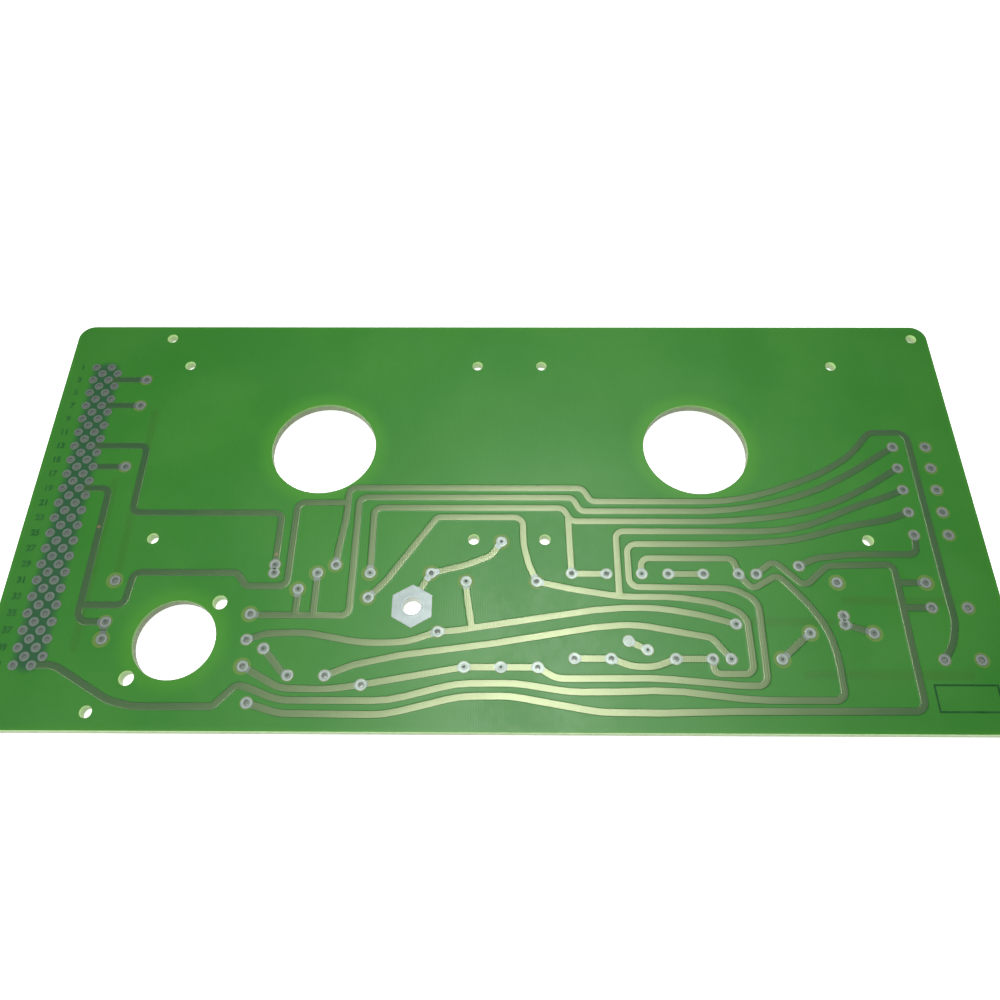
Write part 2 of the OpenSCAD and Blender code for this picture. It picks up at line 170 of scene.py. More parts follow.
# The run on the back of each net that has one.
BACK_RUNS = {
    "net_row_6": [(7, 6), (8.7, 10, 6), (8.7, 28.5, 6), (9, 30)],
    "net_row_15": [(7, 15), (5.7, 17.2, 5), (5.7, 38.2), (3, 39)],
    "net_long_wave": [(79, 35), (80.5, 34.5, 8), (89.5, 34.5, 8), (91, 35)],
    "net_right_pair": [(91, 30), (91.3, 31.7, 2.4), (103.6, 31.7, 6), (105, 33)],
    "link_slant": [(83.5, 39), (86, 40.4, 6), (103.4, 40.4, 5), (105, 39)],
}

# Lands whose resist opening is wide, with its radius.
WIDE_OPENINGS = {(7, 2): 2.1, (7, 6): 2.2, (9, 30): 2.5, (9, 35): 2.2, (9, 37): 2.5,
                 (7, 15): 2.1, (34, 28): 2.4, (25, 34): 2.5, (30, 31): 2.5, (32, 29): 2.5,
                 (38, 29): 2.5, (38, 32): 2.4, (57, 30): 2.3, (53, 25): 2.5, (45, 29): 2.5,
                 (49, 30): 2.4, (94, 36): 2.5, (25, 40): 2.5, (101, 30): 2.5, (91, 30): 2.5,
                 (83.5, 39): 2.5, (87, 36): 2.5, (46, 36): 2.1, (105, 33): 2.1,
                 (105, 39): 2.2, (105, 12): 2.1, (105, 15): 2.1, (105, 18): 2.1,
                 (105, 21): 2.1, (105, 24): 2.1}
TIGHT_OPENING = 1.9                              # radius round every other land
PIN_OPENING = 1.46                               # radius round a connector pin
STUD_OPENING = 11.6                              # across the flats, round the stud land
# The mask of the wide openings is a little too long: it is true at MASK_TRUE_X, and drifts
# by this share of the distance from there, which is 0.24 mm at the left edge.
MASK_DRIFT, MASK_TRUE_X = 0.0012, 60

# Connector pins: four staggered columns.
PINS = [(c, 2 * k) for c in (0, 2) for k in range(21)] + \
       [(c, 2 * k + 1) for c in (1, 3) for k in range(20)]
LANDS = [p for _, lands in NETS.values() for p in lands]

RESIST_Z = TOP + 0.02                            # front face of the resist on bare laminate
BACK_RESIST_Z = -0.012                           # outer face of the back resist
HUMP_SKIRT = 0.6                                 # resist hump beyond the edge of its track
# Half of a hump from its crown: distance out from the track's edge, and height.
HUMP = [(-0.12, 0.130), (-0.04, 0.126), (0.02, 0.108), (0.06, 0.077), (0.11, 0.052),
        (0.20, 0.037), (0.38, 0.028), (HUMP_SKIRT, 0.014)]
CLOTH_PITCH = 0.0007                             # threads of the glass cloth, metres


def at(place):
    """A grid place in mm in the board's own frame."""
    return Vector((LEFT_EDGE + LEFT_MARGIN + place[0] * PITCH,
                   UPPER_EDGE - TOP_MARGIN - place[1] * PITCH))


def spot(place):
    """A grid place in metres, with its height at 0."""
    c = at(place)
    return (c.x * MM, c.y * MM, 0.0)


def screw_places():
    """(centre, radius) of every unplated screw hole."""
    width, depth = DEVICE_SCREWS
    found = []
    for centre, _ in CUTOUTS[:2]:
        found += [(at(centre) + Vector((i * width, j * depth)) / 2, SCREW_R)
                  for i in (-1, 1) for j in (-1, 1)]
    centre = at(CUTOUTS[2][0])
    found += [(centre + Vector((SMALL_SQUARE, SMALL_SQUARE)) * i / 2, SMALL_SCREW_R)
              for i in (-1, 1)]
    for x in (LEFT_EDGE + FIXING_LEFT, RIGHT_EDGE - FIXING_RIGHT):
        found += [(Vector((x, j * (UPPER_EDGE - FIXING_EDGE))), SCREW_R) for j in (-1, 1)]
    return found


def opening(place):
    """Centre and radius of the resist opening round a land."""
    c = at(place)
    if place in WIDE_OPENINGS:
        c = c + Vector((MASK_DRIFT * (c.x - MASK_TRUE_X), 0))
    return c, WIDE_OPENINGS.get(place, TIGHT_OPENING)


# ---- Track centre lines ------------------------------------------------------
STRAIGHT = 0.0087                                # radians under which a corner stays as it is
ARC_STEP = 9                                     # degrees of a bend between its points
BEND_SHARE = 0.49                                # of a straight, the most that a bend takes


def bend(a, b, c, radius):
    """Points of the arc that rounds the corner at b."""
    u, v = (b - a).normalized(), (c - b).normalized()
    turn = math.atan2(u.x * v.y - u.y * v.x, u.dot(v))
    if abs(turn) < STRAIGHT:
        return [b]
    room = BEND_SHARE * min((b - a).length, (c - b).length)
    reach = min(radius * abs(math.tan(turn / 2)), room)
    r = reach / abs(math.tan(turn / 2)) * math.copysign(1, turn)
    hub = b - u * reach + Vector((-u.y, u.x)) * r
    steps = max(1, math.ceil(abs(math.degrees(turn)) / ARC_STEP))
    arm = (b - u * reach) - hub
    return [hub + Matrix.Rotation(turn * k / steps, 2) @ arm for k in range(steps + 1)]


def centre_line(run):
    """Points along the middle of a track."""
    p = [at(q) for q in run]
    line = [p[0]]
    for i in range(1, len(p) - 1):
        line += bend(p[i - 1], p[i], p[i + 1], run[i][2] if len(run[i]) > 2 else BEND_R)
    return line + [p[-1]]


def gap_to(line, c):
    """Distance from a point to a centre line."""
    best = math.inf
    for a, b in zip(line, line[1:]):
        t = max(0.0, min(1.0, (c - a).dot(b - a) / (b - a).length_squared))
        best = min(best, (a + (b - a) * t - c).length)
    return best


# ---- Modelling helpers ---------------------------------------------------------
def only(*objects):
    """Select these objects alone, the first one active."""
    for o in bpy.context.view_layer.objects:
        o.select_set(False)
    for o in objects:
        o.select_set(True)
    bpy.context.view_layer.objects.active = objects[0]


def merge(obj):
    """Merge doubles and turn all faces outwards."""
    only(obj)
    bpy.ops.object.mode_set(mode="EDIT")
    bpy.ops.mesh.select_all(action="SELECT")
    bpy.ops.mesh.remove_doubles(threshold=1e-7)
    bpy.ops.mesh.normals_make_consistent(inside=False)
    bpy.ops.object.mode_set(mode="OBJECT")
    return obj


def placed(name, data):
    """A new object of this data, in the scene."""
    obj = bpy.data.objects.new(name, data)
    bpy.context.scene.collection.objects.link(obj)
    return obj


def settle(obj):
    """Move an object's place, turn and scale into its mesh."""
    only(obj)
    bpy.ops.object.transform_apply(location=True, rotation=True, scale=True)
    return obj


def as_mesh(obj):
    """Turn a curve or text into a merged mesh."""
    only(obj)
    bpy.ops.object.convert(target="MESH")
    return merge(settle(bpy.context.view_layer.objects.active))


def join(name, parts):
    """Several meshes as one, under a new name."""
    only(*parts)
    if len(parts) > 1:
        bpy.ops.object.join()
    made = bpy.context.view_layer.objects.active
    made.name = made.data.name = name
    return made


def boolean(obj, other, operation):
    """Unite one mesh with another or cut it by the other, which is used up."""
    mod = obj.modifiers.new(operation.lower(), "BOOLEAN")
    mod.operation = operation
    mod.object = other
    mod.solver = "EXACT"
    only(obj)
    bpy.ops.object.modifier_apply(modifier=mod.name)
    bpy.data.objects.remove(other, do_unlink=True)


def curve(name, dimensions, lines, closed=True):
    """A curve with one straight-edged spline through each list of points in mm."""
    data = bpy.data.curves.new(name, "CURVE")
    data.dimensions = dimensions
    for line in lines:
        spline = data.splines.new("POLY")
        spline.points.add(len(line) - 1)
        for point, (x, y) in zip(spline.points, line):
            point.co = (x * MM, y * MM, 0, 1)
        spline.use_cyclic_u = closed
    return placed(name, data)


def filled_outline(name, loops, low, high):
    """A flat sheet between two heights, from one outer loop and the loops of its holes."""
    obj = curve(name, "2D", loops)
    obj.data.fill_mode = "BOTH"
    obj.data.extrude = (high - low) / 2 * MM
    obj.location.z = (high + low) / 2 * MM
    return as_mesh(obj)


def swept(name, line, profile):
    """A closed profile, [across, height] in mm, drawn along a centre line."""
    shape = curve(name + "_profile", "2D", [profile])
    path = curve(name, "3D", [line], closed=False)
    path.data.twist_mode = "Z_UP"
    path.data.bevel_mode = "OBJECT"
    path.data.bevel_object = shape
    path.data.use_fill_caps = True
    made = as_mesh(path)
    bpy.data.objects.remove(shape, do_unlink=True)
    return made


def arc(c, r, angles):
    """Points at a distance from a centre, at angles in degrees."""
    return [(c[0] + r * math.cos(math.radians(a)), c[1] + r * math.sin(math.radians(a)))
            for a in angles]


def circle(c, r, sides):
    return arc(c, r, [360 * k / sides for k in range(sides)])


def hexagon(c, flats):
    return arc(c, flats / 2 / math.cos(math.pi / 6), range(30, 390, 60))


CUT_DEPTH = 6                                    # right through board and resist


def cutter(places):
    """One mesh of upright cylinders, (centre, radius), through board and resist."""
    parts = []
    for c, r in places:
        bpy.ops.mesh.primitive_cylinder_add(vertices=48, radius=r * MM,
                                            depth=CUT_DEPTH * MM,
                                            location=(c.x * MM, c.y * MM, TOP / 2 * MM))
        parts.append(bpy.context.view_layer.objects.active)
    return settle(join("cutter", parts))


# ---- Material helpers --------------------------------------------------------------
def group(name, sockets_in, sockets_out):
    """A new node group: its tree, its input values and its output sockets."""
    tree = bpy.data.node_groups.new(name, "ShaderNodeTree")
    for label, kind, value in sockets_in:
        socket = tree.interface.new_socket(label, in_out="INPUT", socket_type=kind)
        if value is not None:
            socket.default_value = value
    for label, kind in sockets_out:
        tree.interface.new_socket(label, in_out="OUTPUT", socket_type=kind)
    start = tree.nodes.new("NodeGroupInput")
    end = tree.nodes.new("NodeGroupOutput")
    return tree, start.outputs, end.inputs


def plug(tree, socket, value):
    """Give a socket a constant, or link it to another socket."""
    if isinstance(value, bpy.types.NodeSocket):
        tree.links.new(value, socket)
    else:
        socket.default_value = value


def feed(tree, node, inputs):
    """Fill a node's inputs, by name or number, and give its outputs."""
    for key, value in inputs.items():
        plug(tree, node.inputs[key], value)
    return node.outputs


def put(tree, kind, inputs=None, **props):
    """Add a node with these inputs and properties, and give its outputs."""
    node = tree.nodes.new(kind)
    for key, value in props.items():
        setattr(node, key, value)
    return feed(tree, node, inputs or {})


def use(tree, node_group, **inputs):
    """Place a node group; an underscore in an input's name stands for a space."""
    return put(tree, "ShaderNodeGroup", {k.replace("_", " "): v for k, v in inputs.items()},
               node_tree=node_group)


def calc(tree, operation, *values, clamp=False):
    return put(tree, "ShaderNodeMath", dict(enumerate(values)), operation=operation,
               use_clamp=clamp)[0]


def vector(tree, operation, *values):
    return put(tree, "ShaderNodeVectorMath", dict(enumerate(values)), operation=operation)


def axes(tree, place):
    """X, Y and Z of a place."""
    return put(tree, "ShaderNodeSeparateXYZ", {0: place})


def noise(tree, place, scale, detail, **inputs):
    """Soft cloudy pattern; its first output goes from 0 to 1."""
    return put(tree, "ShaderNodeTexNoise",
               {"Vector": place, "Scale": scale, "Detail": detail, **inputs})


def bump(tree, height, strength, distance):
    return put(tree, "ShaderNodeBump", {"Strength": strength, "Distance": distance,
                                        "Height": height})[0]


def highest(tree, masks):
    """The highest of several masks at each point."""
    found = masks[0]
    for mask in masks[1:]:
        found = calc(tree, "MAXIMUM", found, mask)
    return found


def blend(tree, factor, a, b):
    """Colour a where the factor is 0, colour b where it is 1."""
    node = tree.nodes.new("ShaderNodeMix")
    node.data_type = "RGBA"
    colours = [s for s in node.inputs if s.type == "RGBA"]
    for socket, value in zip((node.inputs[0], *colours), (factor, a, b)):
        plug(tree, socket, value)
    return [s for s in node.outputs if s.type == "RGBA"][0]


def ramp(tree, value, low, high, start=0.0, end=1.0, smooth=True):
    """From start to end while the value goes from low to high."""
    return put(tree, "ShaderNodeMapRange", {"Value": value, "From Min": low, "From Max": high,
                                            "To Min": start, "To Max": end},
               interpolation_type="SMOOTHSTEP" if smooth else "LINEAR")[0]


def linear(r, g, b):
    """A display colour, 0 to 255, as Blender's linear colour."""
    return tuple(((c / 255 + 0.055) / 1.055) ** 2.4 if c > 10 else c / 255 / 12.92
                 for c in (r, g, b)) + (1,)


BLACK = (0, 0, 0, 1)
LEVEL = (1, 1, 0)                                # a vector times this loses its height


# ---- Shared effects ------------------------------------------------------------------
def rim_group():
    """1 at the wall of a round opening, falling to 0 at Reach outside it."""
    tree, i, o = group("opening_rim", [("Position", "NodeSocketVector", None),
                                       ("Centre", "NodeSocketVector", None),
                                       ("Radius", "NodeSocketFloat", 0.01),
                                       ("Reach", "NodeSocketFloat", 0.004)],
                       [("Mask", "NodeSocketFloat")])
    away = vector(tree, "SUBTRACT", i["Position"], i["Centre"])[0]
    far = vector(tree, "LENGTH", vector(tree, "MULTIPLY", away, LEVEL)[0])["Value"]
    out = calc(tree, "SUBTRACT", far, i["Radius"])
    plug(tree, o["Mask"], ramp(tree, out, 0.0, i["Reach"], 1.0, 0.0))
    return tree


def border_group():
    """1 at the board's edge, falling to 0 at Reach inside it."""
    tree, i, o = group("board_border", [("Position", "NodeSocketVector", None),
                                        ("Half Width", "NodeSocketFloat", 0.1),
                                        ("Half Depth", "NodeSocketFloat", 0.1),
                                        ("Reach", "NodeSocketFloat", 0.004)],
                       [("Mask", "NodeSocketFloat")])
    part = axes(tree, i["Position"])
    gaps = [calc(tree, "SUBTRACT", i[half], calc(tree, "ABSOLUTE", part[k]))
            for k, half in ((0, "Half Width"), (1, "Half Depth"))]
    nearest = calc(tree, "MINIMUM", *gaps)
    plug(tree, o["Mask"], ramp(tree, nearest, 0.0, i["Reach"], 1.0, 0.0))
    return tree


def strip_group():
    """1 on a straight strip from A to B, falling to 0 at Blur beside it."""
    tree, i, o = group("straight_strip", [("Position", "NodeSocketVector", None),
                                          ("A", "NodeSocketVector", None),
                                          ("B", "NodeSocketVector", None),
                                          ("Half Width", "NodeSocketFloat", 0.001),
                                          ("Blur", "NodeSocketFloat", 0.0006)],
                       [("Mask", "NodeSocketFloat")])
    flat = vector(tree, "MULTIPLY", i["Position"], LEVEL)[0]
    rel = vector(tree, "SUBTRACT", flat, i["A"])[0]
    run = vector(tree, "SUBTRACT", i["B"], i["A"])[0]
    share = calc(tree, "DIVIDE", vector(tree, "DOT_PRODUCT", rel, run)["Value"],
                 vector(tree, "DOT_PRODUCT", run, run)["Value"], clamp=True)
    step = put(tree, "ShaderNodeVectorMath", {0: run, "Scale": share}, operation="SCALE")[0]
    far = vector(tree, "LENGTH", vector(tree, "SUBTRACT", rel, step)[0])["Value"]
    out = calc(tree, "SUBTRACT", far, i["Half Width"])
    plug(tree, o["Mask"], ramp(tree, out, 0.0, i["Blur"], 1.0, 0.0))
    return tree


def weave_group():
    """Glass cloth just under the surface: crossed threads with uneven tension."""
    tree, i, o = group("glass_weave", [("Position", "NodeSocketVector", None),
                                       ("Pitch", "NodeSocketFloat", CLOTH_PITCH)],
                       [("Height", "NodeSocketFloat"), ("Tone", "NodeSocketFloat"),
                        ("Ribs", "NodeSocketFloat")])
    wander = noise(tree, i["Position"], 60.0, 2.0)["Color"]
    sway = vector(tree, "MULTIPLY_ADD", wander, (0.0008,) * 3, i["Position"])[0]
    part = axes(tree, sway)
    turns = calc(tree, "DIVIDE", 2 * math.pi, i["Pitch"])
    warp, weft = [calc(tree, "SINE", calc(tree, "MULTIPLY", part[k], turns)) for k in (0, 1)]
    cloth = calc(tree, "MULTIPLY_ADD", weft, 0.4, warp)
    plug(tree, o["Height"], cloth)
    pull = noise(tree, i["Position"], 90.0, 3.0)[0]
    strength = ramp(tree, pull, 0.3, 0.65, 0.2, 0.5)
    plug(tree, o["Ribs"], calc(tree, "MULTIPLY_ADD", cloth, strength, 0.5, clamp=True))
    patch = noise(tree, i["Position"], 420.0, 3.0)[0]
    threads = calc(tree, "MULTIPLY", cloth, 0.35)
    plug(tree, o["Tone"], calc(tree, "MULTIPLY_ADD", threads, patch, 0.3))
    return tree


def smudge_group():
    """Handling marks: broad cloudy patches and fine streaks, 0 to 1."""
    tree, i, o = group("handling_marks", [("Position", "NodeSocketVector", None),
                                          ("Size", "NodeSocketFloat", 0.02)],
                       [("Marks", "NodeSocketFloat")])
    broad = noise(tree, i["Position"], calc(tree, "DIVIDE", 1.0, i["Size"]), 4.0)[0]
    fine = noise(tree, i["Position"], calc(tree, "DIVIDE", 14.0, i["Size"]), 3.0,
                 Distortion=0.6)[0]
    mixed = calc(tree, "MULTIPLY_ADD", fine, 0.35, calc(tree, "MULTIPLY", broad, 0.65))
    plug(tree, o["Marks"], ramp(tree, mixed, 0.35, 0.65))
    return tree


RIM, BORDER, STRIP = rim_group(), border_group(), strip_group()
WEAVE, SMUDGE = weave_group(), smudge_group()


# ---- Materials -------------------------------------------------------------------
PLY = 0.0002                                     # layer of glass in a sawn edge, metres
# Nicks in the resist where a spot of copper lies bare.
NICKS = [(5.6, 23.2), (27.0, 26.7)]
# Painted shadow: strips where the back copper shows faintly through the board as darker bands.
BACK_COPPER_SHADOWS = [((9.05, 7), (9.05, 29)), ((6.15, 17), (6.15, 38)), ((80.5, 34.7), (89.5, 34.7)),
          ((91.5, 32.2), (103.5, 32.2)), ((86, 40.7), (103.4, 40.7))]
# The darker, bluer area of the connector pins, from its first row to its last: partly thicker
# resist, partly painted shade where the pins keep light from coming through the board.
PIN_FIELD = ((1.5, 1), (1.5, 39))


def finish_of(name):
    """A new material: its tree, its Principled shader and its Object coordinates."""
    made = bpy.data.materials.new(name)
    made.use_nodes = True
    tree = made.node_tree
    return made, tree, tree.nodes["Principled BSDF"], put(tree, "ShaderNodeTexCoord")["Object"]


def strip_mask(tree, place, ends, half_width, blur):
    """Mask of a strip between two grid places."""
    a, b = ends
    return use(tree, STRIP, Position=place, A=spot(a), B=spot(b), Half_Width=half_width,
               Blur=blur)["Mask"]


def rim_masks(tree, place, reach, extra=0.0):
    """One mask for each device opening, from its wall or an extra distance in mm outside."""
    return [use(tree, RIM, Position=place, Centre=spot(centre), Radius=(radius + extra) * MM,
                Reach=reach)["Mask"] for centre, radius in CUTOUTS]


def resist_colour(tree, place):
    """Resist over bare laminate: cloudy green, with painted light making it lighter along edges
    and openings, painted shadow strips over the back copper, and a darker, bluer area among the
    pins that is partly painted shade.
    """
    cloud = ramp(tree, noise(tree, place, 28.0, 4.0)[0], 0.3, 0.7)
    colour = blend(tree, cloud, linear(66, 144, 51), linear(56, 137, 45))
    # Painted light: the resist is made lighter along the board's edge and round the device
    # openings, as a glow of light through the laminate.
    border = use(tree, BORDER, Position=place, Half_Width=HIGH.x, Half_Depth=HIGH.y,
                 Reach=0.0018)["Mask"]
    edges = highest(tree, [calc(tree, "MULTIPLY", border, 0.5)] + rim_masks(tree, place, 0.006))
    colour = blend(tree, calc(tree, "MULTIPLY", edges, 0.3), colour, linear(98, 184, 44))
    # Painted shadow: darker olive strips over the runs of the back copper.
    back_shadow = highest(tree, [strip_mask(tree, place, ends, 0.0006, 0.0012) for ends in BACK_COPPER_SHADOWS])
    colour = blend(tree, calc(tree, "MULTIPLY", back_shadow, 0.22), colour, linear(70, 96, 34))
    # Partly painted shade: the resist among the pins is darkened towards a bluer green.
    pin_shade = strip_mask(tree, place, PIN_FIELD, 0.0026, 0.0030)
    return blend(tree, calc(tree, "MULTIPLY", pin_shade, 0.85), colour, linear(44, 86, 68))


def resist_finish():
    """Satin resist, dark where it runs thin over the edge of a track, and there also painted
    shade.
    """
    made, tree, shader, place = finish_of("solder_resist")
    cloth = use(tree, WEAVE, Position=place, Pitch=CLOTH_PITCH)
    ribs = calc(tree, "MULTIPLY", cloth["Ribs"], 0.22)
    colour = blend(tree, ribs, resist_colour(tree, place), linear(46, 116, 44))
    # Partly painted shade: the resist on the slopes beside a track is darkened by its height.
    shoulder_shade = ramp(tree, axes(tree, place)[2], (TOP + 0.026) * MM, (TOP + 0.09) * MM)
    colour = blend(tree, shoulder_shade, colour, linear(34, 92, 42))
    marks = use(tree, SMUDGE, Position=place, Size=0.03)["Marks"]
    feed(tree, shader, {"Base Color": colour, "IOR": 1.54,
                        "Roughness": ramp(tree, marks, 0, 1, 0.42, 0.49),
                        "Normal": bump(tree, cloth["Height"], 0.2, 0.00002)})
    return made


def coated_copper_finish():
    """Copper under clear green resist: a broad cream sheen over a dark green body."""
    made, tree, shader, place = finish_of("coated_copper")
    cloth = use(tree, WEAVE, Position=place, Pitch=CLOTH_PITCH)
    marks = use(tree, SMUDGE, Position=place, Size=0.012)["Marks"]
    colour = blend(tree, marks, linear(12, 84, 46), linear(8, 76, 40))
    colour = blend(tree, calc(tree, "MULTIPLY", cloth["Ribs"], 0.7), colour,
                   linear(20, 102, 56))
    for nick in NICKS:
        bare = use(tree, RIM, Position=place, Centre=spot(nick), Radius=0.0002,
                   Reach=0.0005)["Mask"]
        colour = blend(tree, bare, colour, linear(150, 118, 84))
    feed(tree, shader, {"Base Color": colour, "IOR": 3.05,
                        "Roughness": ramp(tree, marks, 0, 1, 0.415, 0.445),
                        "Specular Tint": (0.81, 0.88, 0.48, 1),
                        "Coat Weight": 0.6,
                        "Coat Roughness": 0.36,
                        "Normal": bump(tree, cloth["Height"], 0.18, 0.00003)})
    return made


def tin_finish(name, bright, dull, rough, barrel_glow):
    """Hot-dipped tin: slightly uneven, with painted light: a pale colour and a glow up the wall
    of its hole.
    """
    made, tree, shader, place = finish_of(name)
    # Painted light: below the land, the hole's wall takes a pale colour and glows, paler still
    # in the stud's bore.
    inside = ramp(tree, axes(tree, place)[2], (TOP + 0.06) * MM, (TOP - 0.5) * MM)
    marks = use(tree, SMUDGE, Position=place, Size=0.002)["Marks"]
    colour = blend(tree, marks, bright, dull)
    stud = use(tree, RIM, Position=place, Centre=spot(STUD), Radius=0.0035,
               Reach=0.001)["Mask"]
    barrel_glow = blend(tree, stud, barrel_glow, linear(196, 202, 190))
    colour = blend(tree, inside, colour, barrel_glow)
    ripple = noise(tree, place, 1500.0, 2.0)[0]
    feed(tree, shader, {"Base Color": colour,
                        "Metallic": ramp(tree, inside, 0, 1, 0.75, 0.3),
                        "Roughness": ramp(tree, marks, 0, 1, rough, rough + 0.05),
                        "Normal": bump(tree, ripple, 0.35, 0.00003),
                        "Emission Color": blend(tree, inside, BLACK, barrel_glow),
                        "Emission Strength": 0.2})
    return made


def laminate_finish():
    """Glass-epoxy board: olive glass where it is bare, and pale edges with painted light:
    lighter near the front face, darker lower down, and glowing.
    """
    made, tree, shader, place = finish_of("glass_epoxy")
    height = axes(tree, place)[2]
    # Painted light and shade: each wall is lighter in a band under the front face and darker
    # below it.
    upper = ramp(tree, height, (TOP - 1.4) * MM, (TOP - 0.5) * MM)
    face = ramp(tree, height, (TOP - 0.004) * MM, (TOP - 0.001) * MM)
    layer = calc(tree, "SINE", calc(tree, "MULTIPLY", height, 2 * math.pi / PLY))
    grain = noise(tree, place, 900.0, 4.0)[0]
    edge = blend(tree, upper, linear(160, 178, 138), linear(174, 212, 140))
    bored = blend(tree, upper, linear(124, 134, 104), linear(112, 172, 80))
    milled = highest(tree, rim_masks(tree, place, 0.0004, extra=0.05))
    wall = blend(tree, milled, edge, bored)
    stripe = calc(tree, "MULTIPLY_ADD", layer, 0.08, calc(tree, "MULTIPLY", grain, 0.22))
    wall = blend(tree, stripe, wall, linear(96, 118, 66))
    cloth = use(tree, WEAVE, Position=place, Pitch=CLOTH_PITCH)
    bare = blend(tree, cloth["Tone"], linear(110, 148, 68), linear(96, 136, 58))
    # Painted light: the walls glow in their own colour, half as much at the device openings.
    through = blend(tree, face, wall, BLACK)
    through = blend(tree, calc(tree, "MULTIPLY", milled, 0.5), through, BLACK)
    feed(tree, shader, {"Base Color": blend(tree, face, wall, bare),
                        "Roughness": ramp(tree, grain, 0.3, 0.7, 0.45, 0.62),
                        "Normal": bump(tree, grain, 0.5, 0.00005),
                        "Emission Color": through,
                        "Emission Strength": 0.5})
    return made


def ink_finish(name, dark, light):
    """Narrow copper figures or lines under resist."""
    made, tree, shader, place = finish_of(name)
    marks = use(tree, SMUDGE, Position=place, Size=0.004)["Marks"]
    feed(tree, shader, {"Base Color": blend(tree, marks, dark, light),
                        "Roughness": ramp(tree, marks, 0, 1, 0.4, 0.52)})
    return made


RESIST, COATED, LAMINATE = resist_finish(), coated_copper_finish(), laminate_finish()
LINES = ink_finish("coated_line", linear(26, 84, 38), linear(36, 98, 46))
FIGURES = ink_finish("coated_figure", linear(36, 98, 46), linear(50, 116, 52))
# Painted light: the pale colours that the walls of the holes take and glow with.
BARREL_GLOW, PIN_BARREL_GLOW = linear(150, 158, 150), linear(130, 138, 130)
TIN = tin_finish("dull_tin", linear(180, 194, 184), linear(164, 178, 168), 0.51, BARREL_GLOW)
PIN_TIN = tin_finish("pin_tin", linear(166, 182, 172), linear(148, 165, 154), 0.46, PIN_BARREL_GLOW)
LAND_TIN = tin_finish("land_tin", linear(154, 168, 159), linear(140, 154, 144), 0.46, BARREL_GLOW)
STUD_TIN = tin_finish("stud_tin", linear(172, 185, 182), linear(164, 178, 174), 0.5, BARREL_GLOW)


def dress(obj, material, smooth=None):
    """Finish a piece that rides on the board, smooth where its faces turn less than this."""
    obj.data.materials.clear()
    obj.data.materials.append(material)
    if smooth is not None:
        only(obj)
        bpy.ops.object.shade_smooth_by_angle(angle=math.radians(smooth))
    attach(obj, "root")
    return obj


def two_tone(obj, finish, low=-math.inf, high=math.inf):
    """Give the faces between two heights in mm their own finish."""
    obj.data.materials.append(finish)
    for face in obj.data.polygons:
        face.material_index = int(low * MM < face.center.z < high * MM)


# ---- Resist on bare laminate -----------------------------------------------------
def board_loop():
    """Outline of the board, a little inside its edge."""
    x, y = [edge - RESIST_INSET - RESIST_CORNER for edge in (RIGHT_EDGE, UPPER_EDGE)]
    loop = []
    for sx, sy, start in ((1, 1, 0), (-1, 1, 90), (-1, -1, 180), (1, -1, 270)):
        loop += arc((sx * x, sy * y), RESIST_CORNER, range(start, start + 91, 15))
    return loop


def opening_loops(rounds):
    """Outlines of round openings; two that overlap share one outline."""
    loops, left = [], list(rounds)
    while left:
        c, r = left.pop(0)
        twin = next(((d, s) for d, s in left if (c - d).length < r + s), None)
        if not twin:
            loops.append(circle(c, r, 40))
            continue
        left.remove(twin)
        d, s = twin
        hub = (c + d) / 2
        both = [p for p in circle(c, r, 64) if (Vector(p) - d).length > s] + \
               [p for p in circle(d, s, 64) if (Vector(p) - c).length > r]
        loops.append(sorted(both, key=lambda p: math.atan2(p[1] - hub.y, p[0] - hub.x)))
    return loops


LAND_ROUNDS = [opening(p) for p in LANDS]
BACK_ROUNDS = [(at(p), TIGHT_OPENING) for p in LANDS]
PIN_ROUNDS = [(at(p), PIN_OPENING) for p in PINS]


def resist_sheet(name, rounds, low, high):
    """Resist on bare laminate, between two heights and open at these rounds."""
    loops = [board_loop()]
    loops += [circle(at(c), r + HOLE_GAP, 96) for c, r in CUTOUTS]
    loops += [circle(c, r + HOLE_GAP, 32) for c, r in screw_places()]
    loops += [hexagon(at(STUD), STUD_OPENING)] + opening_loops(rounds + PIN_ROUNDS)
    dress(filled_outline(name, loops, low, high), RESIST, smooth=20)


resist_sheet("front_resist", LAND_ROUNDS, TOP, RESIST_Z)
resist_sheet("back_resist", BACK_ROUNDS, BACK_RESIST_Z, 0.0)


# ---- Resist over the tracks ------------------------------------------------------
STUD_REACH = 8                                   # a run this near the stud may meet its opening
RUN_STEP = 0.0015                                # each run of a net stands higher by this
SINK = 0.01                                      # foot of a hump or of the tin in what it is on
CREST_Z = TOP + 0.11                             # above this, a front hump shows its copper
BACK_RISE = -0.5                                 # a back hump is half as high and points down
BACK_FOOT_Z = -0.004
BACK_CREST_Z = -0.055                            # below this, a back hump shows its copper


def hump(face, rise, foot):
    """Cross-section of the resist over a track, from the face it stands on to its foot."""
    half = [(TRACK_W / 2 + out, face + rise * up) for out, up in HUMP]
    edge = TRACK_W / 2 + HUMP_SKIRT
    return [(-x, z) for x, z in reversed(half)] + half + [(edge, foot), (-edge, foot)]


def apart(rounds):
    """The same openings in batches in which no two overlap."""
    batches = []
    for c, r in rounds:
        for batch in batches:
            if all((c - d).length > r + s for d, s in batch):
                batch.append((c, r))
                break
        else:
            batches.append([(c, r)])
    return batches


def open_up(obj, rounds, stud=False):
    """Cut round openings in a hump, and where asked the stud land's own."""
    for batch in apart(rounds):
        boolean(obj, cutter(batch), "DIFFERENCE")
    if stud:
        block = filled_outline("cutter", [hexagon(at(STUD), STUD_OPENING)], TOP - 0.3, TOP + 0.5)
        boolean(obj, block, "DIFFERENCE")
    return merge(obj)


